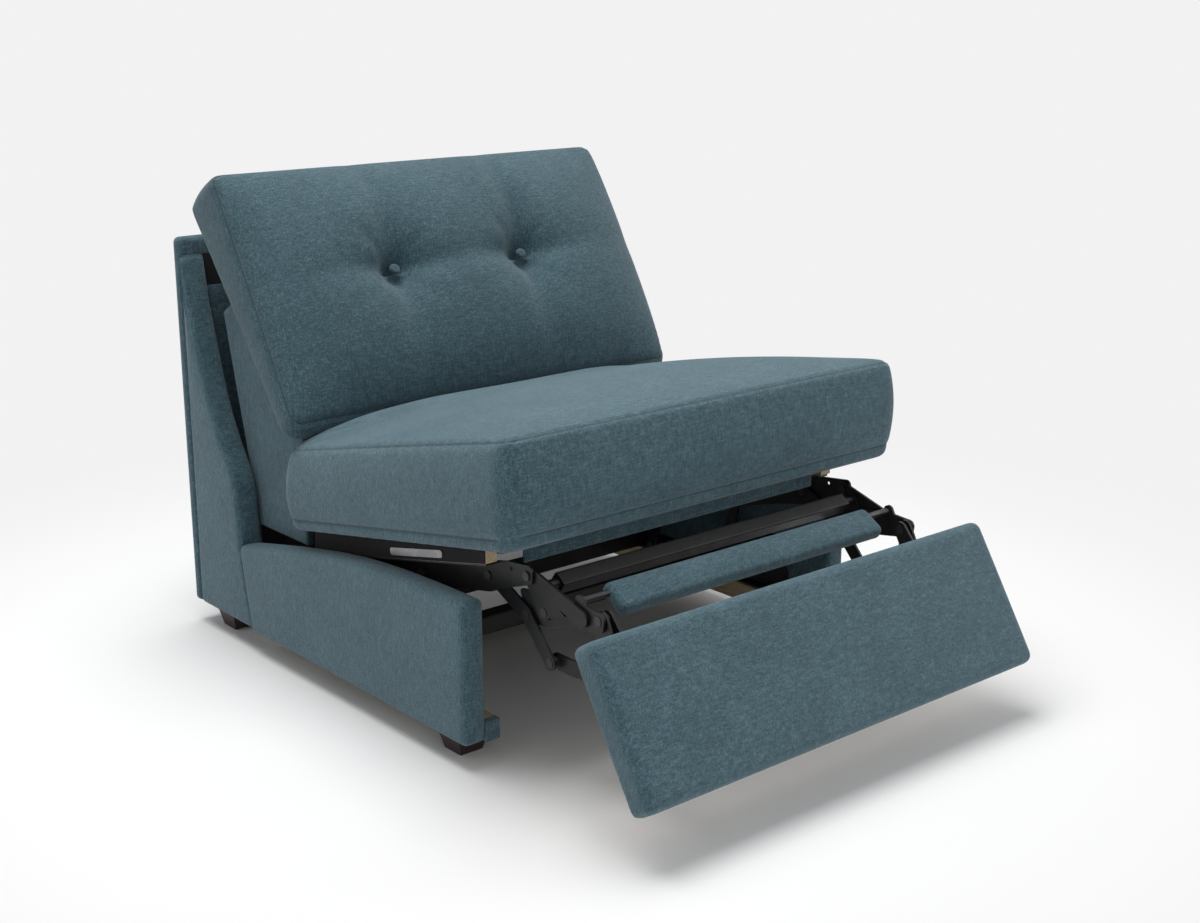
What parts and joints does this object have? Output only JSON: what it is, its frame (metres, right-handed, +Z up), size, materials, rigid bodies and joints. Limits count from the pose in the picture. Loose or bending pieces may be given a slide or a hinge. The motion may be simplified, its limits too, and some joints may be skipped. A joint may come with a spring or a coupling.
{
  "type": "armless recliner",
  "caption": "Armless upholstered recliner with a folding padded footrest on a steel scissor linkage, tufted loose back and dark tapered block feet.",
  "frame": {"origin": "on the floor under the middle of the chair as stored", "axes": "+Z up, +Y towards the back of the chair, +X towards the sitter's left-hand rail when seen from the front on the right"},
  "size_m": [0.8, 1.218, 0.8126],
  "materials": {
    "upholstery": "soft heathered weave",
    "lining": "black non-woven",
    "raw_wood": "unfinished",
    "foot_wood": "dark satin stain",
    "black_steel": "satin black",
    "rivet_steel": "dark zinc"
  },
  "bodies": {
    "base": {"left_side_rail": "upholstery", "right_side_rail": "upholstery", "rail_boards": "raw_wood", "rail_cleats": "raw_wood", "left_wing": "upholstery", "right_wing": "upholstery", "shell_back": "upholstery", "back_lining": "lining", "front_feet": "foot_wood", "rear_feet": "foot_wood", "left_base_plate": "black_steel", "right_base_plate": "black_steel", "base_front_tube": "black_steel", "base_rear_tube": "black_steel", "base_pins": "rivet_steel"},
    "front_recline_links": {"left_front_recline_link": "black_steel", "right_front_recline_link": "black_steel"},
    "rear_recline_links": {"left_rear_recline_link": "black_steel", "right_rear_recline_link": "black_steel"},
    "seat": {"left_seat_plate": "black_steel", "right_seat_plate": "black_steel", "seat_pins": "rivet_steel", "left_seat_side_rail": "raw_wood", "right_seat_side_rail": "raw_wood", "seat_front_rail": "upholstery", "seat_rear_board": "raw_wood", "edge_clips": "black_steel", "seat_cushion": "upholstery", "seat_hinges": "black_steel", "back_hinge_pins": "rivet_steel"},
    "back": {"back_cushion": "upholstery", "tuft_buttons": "upholstery", "back_stiles": "upholstery", "back_lower_rail": "upholstery", "back_upper_rail": "upholstery", "back_hinges": "black_steel"},
    "rear_ottoman_links": {"left_rear_ottoman_link": "black_steel", "right_rear_ottoman_link": "black_steel", "rear_ottoman_pins": "rivet_steel"},
    "upper_ottoman_links": {"left_upper_ottoman_link": "black_steel", "right_upper_ottoman_link": "black_steel", "upper_ottoman_pins": "rivet_steel", "drive_tube": "black_steel", "drive_tube_ends": "black_steel", "mid_pad": "upholstery", "pad_rods": "black_steel"},
    "front_ottoman_links": {"left_front_ottoman_link": "black_steel", "right_front_ottoman_link": "black_steel", "front_ottoman_pins": "rivet_steel"},
    "lower_ottoman_links": {"left_lower_ottoman_link": "black_steel", "right_lower_ottoman_link": "black_steel", "lower_ottoman_pins": "rivet_steel"},
    "footrest_brackets": {"left_footrest_bracket": "black_steel", "right_footrest_bracket": "black_steel"},
    "footrest": {"left_panel_mount": "black_steel", "right_panel_mount": "black_steel", "footrest_board": "lining", "footrest_pad": "upholstery"}
  },
  "joints": [
    {"name": "recline", "type": "hinge", "parent": "base", "child": "front_recline_links", "pos_m": [0, 0.00865, 0.11443], "axis": [1, 0, 0], "range_deg": [-45.7, 15]},
    {"name": "rear_link_swing", "type": "hinge", "parent": "base", "child": "rear_recline_links", "pos_m": [0, 0.19865, 0.08343], "axis": [1, 0, 0], "range_deg": [-45.7, 15]},
    {"name": "seat_carry", "type": "hinge", "parent": "front_recline_links", "child": "seat", "pos_m": [0, -0.025, 0.24], "axis": [1, 0, 0], "range_deg": [-15, 45.7]},
    {"name": "back_tilt", "type": "hinge", "parent": "seat", "child": "back", "pos_m": [0, 0.285, 0.352], "axis": [1, 0, 0], "range_deg": [-4.6, 13.8]},
    {"name": "footrest", "type": "hinge", "parent": "seat", "child": "rear_ottoman_links", "pos_m": [0, -0.185, 0.2785], "axis": [-1, 0, 0], "range_deg": [-37.5, 0]},
    {"name": "upper_link_turn", "type": "hinge", "parent": "rear_ottoman_links", "child": "upper_ottoman_links", "pos_m": [0, -0.266, 0.2405], "axis": [-1, 0, 0], "range_deg": [0, 88.71]},
    {"name": "front_link_turn", "type": "hinge", "parent": "seat", "child": "front_ottoman_links", "pos_m": [0, -0.274, 0.301], "axis": [-1, 0, 0], "range_deg": [-61.51, 0]},
    {"name": "lower_link_turn", "type": "hinge", "parent": "rear_ottoman_links", "child": "lower_ottoman_links", "pos_m": [0, -0.318, 0.1835], "axis": [-1, 0, 0], "range_deg": [0, 117.81]},
    {"name": "bracket_turn", "type": "hinge", "parent": "upper_ottoman_links", "child": "footrest_brackets", "pos_m": [0, -0.415, 0.272], "axis": [-1, 0, 0], "range_deg": [-83.01, 0]},
    {"name": "footrest_tilt", "type": "hinge", "parent": "footrest_brackets", "child": "footrest", "pos_m": [0, -0.415, 0.272], "axis": [-1, 0, 0], "range_deg": [0, 48]}
  ],
  "couplings": [
    {"joint": "rear_link_swing", "follows": "recline", "ratio": 1},
    {"joint": "seat_carry", "follows": "recline", "ratio": -1},
    {"joint": "back_tilt", "follows": "recline", "ratio": -0.3},
    {"joint": "upper_link_turn", "follows": "footrest", "ratio": -2.3653},
    {"joint": "front_link_turn", "follows": "footrest", "ratio": 1.64},
    {"joint": "lower_link_turn", "follows": "footrest", "ratio": -3.1413},
    {"joint": "bracket_turn", "follows": "footrest", "ratio": 2.2133}
  ]
}
